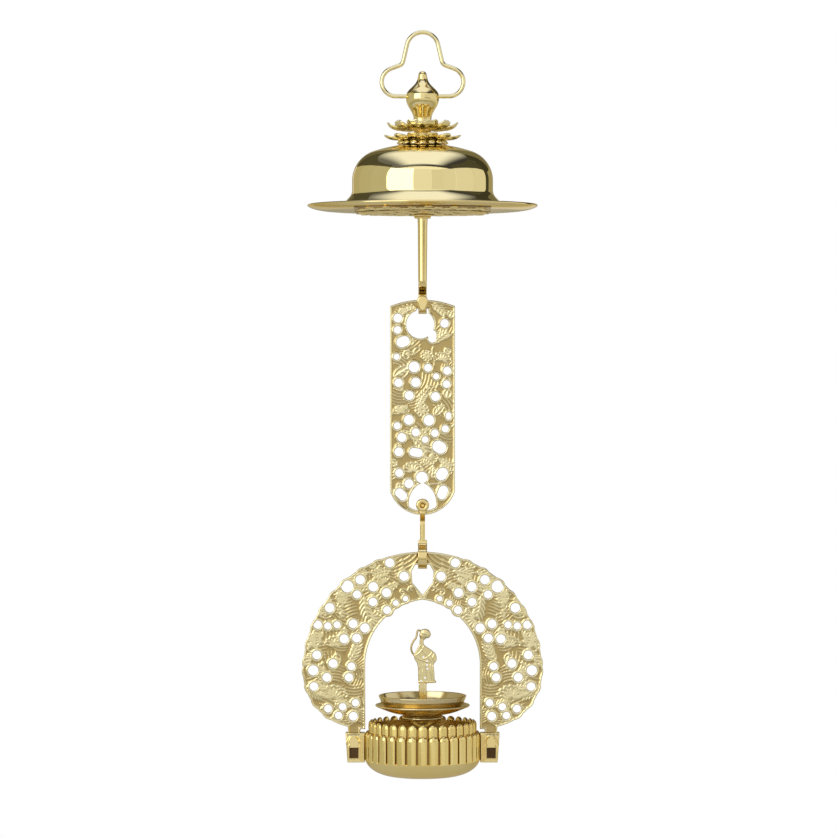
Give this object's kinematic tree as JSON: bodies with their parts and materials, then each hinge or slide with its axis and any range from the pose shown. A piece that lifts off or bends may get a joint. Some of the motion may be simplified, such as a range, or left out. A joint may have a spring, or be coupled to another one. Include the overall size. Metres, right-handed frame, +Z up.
{
  "type": "hanging oil lamp",
  "caption": "Brass hanging altar oil lamp: trefoil wire loop, jewel and lotus finial, domed canopy, rod, openwork plate and ring, and a fluted basin with oil dishes and a wick figure.",
  "frame": {"origin": "top of the inside of the wire loop, where a hook carries the lamp", "axes": "+Z up along the hanging lamp, +X to the right seen from the front, -Y towards the viewer"},
  "size_m": [0.1066, 0.1014, 0.3295],
  "materials": {
    "polished_brass": "polished, spun sheet brass under clear lacquer",
    "bright_brass": "polished turned brass and brass wire",
    "cast_brass": "cast openwork brass, raised parts polished, ground matt"
  },
  "bodies": {
    "loop": {"hanging_loop": "bright_brass"},
    "canopy": {"jewel_finial": "bright_brass", "upper_lotus": "polished_brass", "lotus_spacer": "bright_brass", "lower_lotus": "polished_brass", "chrysanthemum_boss": "polished_brass", "canopy_crown": "polished_brass", "canopy_brim": "polished_brass", "canopy_disc": "cast_brass", "crown_washer": "bright_brass", "crown_nut": "bright_brass", "canopy_nut": "bright_brass", "hanger_rod": "bright_brass"},
    "plate": {"openwork_plate": "cast_brass"},
    "link": {"plate_link": "bright_brass"},
    "ring": {"openwork_ring": "cast_brass", "left_socket": "polished_brass", "right_socket": "polished_brass", "socket_pins": "bright_brass", "socket_rivets": "bright_brass", "basin_bowl": "polished_brass", "inner_cup": "polished_brass", "dish_stand": "bright_brass", "stand_washer": "bright_brass", "stand_screw": "bright_brass"},
    "saucer": {"lower_saucer": "polished_brass"},
    "dish": {"oil_dish": "polished_brass"},
    "wick": {"wick_figure": "cast_brass", "wick_foot": "bright_brass"}
  },
  "joints": [
    {"name": "canopy_swing", "type": "hinge", "parent": "loop", "child": "canopy", "pos_m": [0, 0, -0.02752], "axis": [1, 0, 0], "range_deg": [-90, 90]},
    {"name": "plate_swing", "type": "hinge", "parent": "canopy", "child": "plate", "pos_m": [0, 0, -0.11899], "axis": [1, 0, 0], "range_deg": [-60, 60]},
    {"name": "link_swing", "type": "hinge", "parent": "plate", "child": "link", "pos_m": [0, 0, -0.21089], "axis": [1, 0, 0], "range_deg": [-60, 60]},
    {"name": "ring_swing", "type": "hinge", "parent": "link", "child": "ring", "pos_m": [0, 0, -0.23069], "axis": [1, 0, 0], "range_deg": [-60, 60]},
    {"name": "saucer_lift", "type": "slide", "parent": "ring", "child": "saucer", "axis": [0, 0, 1], "range_m": [0, 0.0025]},
    {"name": "dish_lift", "type": "slide", "parent": "saucer", "child": "dish", "axis": [0, 0, 1], "range_m": [0, 0.0035]},
    {"name": "wick_lift", "type": "slide", "parent": "dish", "child": "wick", "axis": [0, 0, 1], "range_m": [0, 0.0035]}
  ]
}
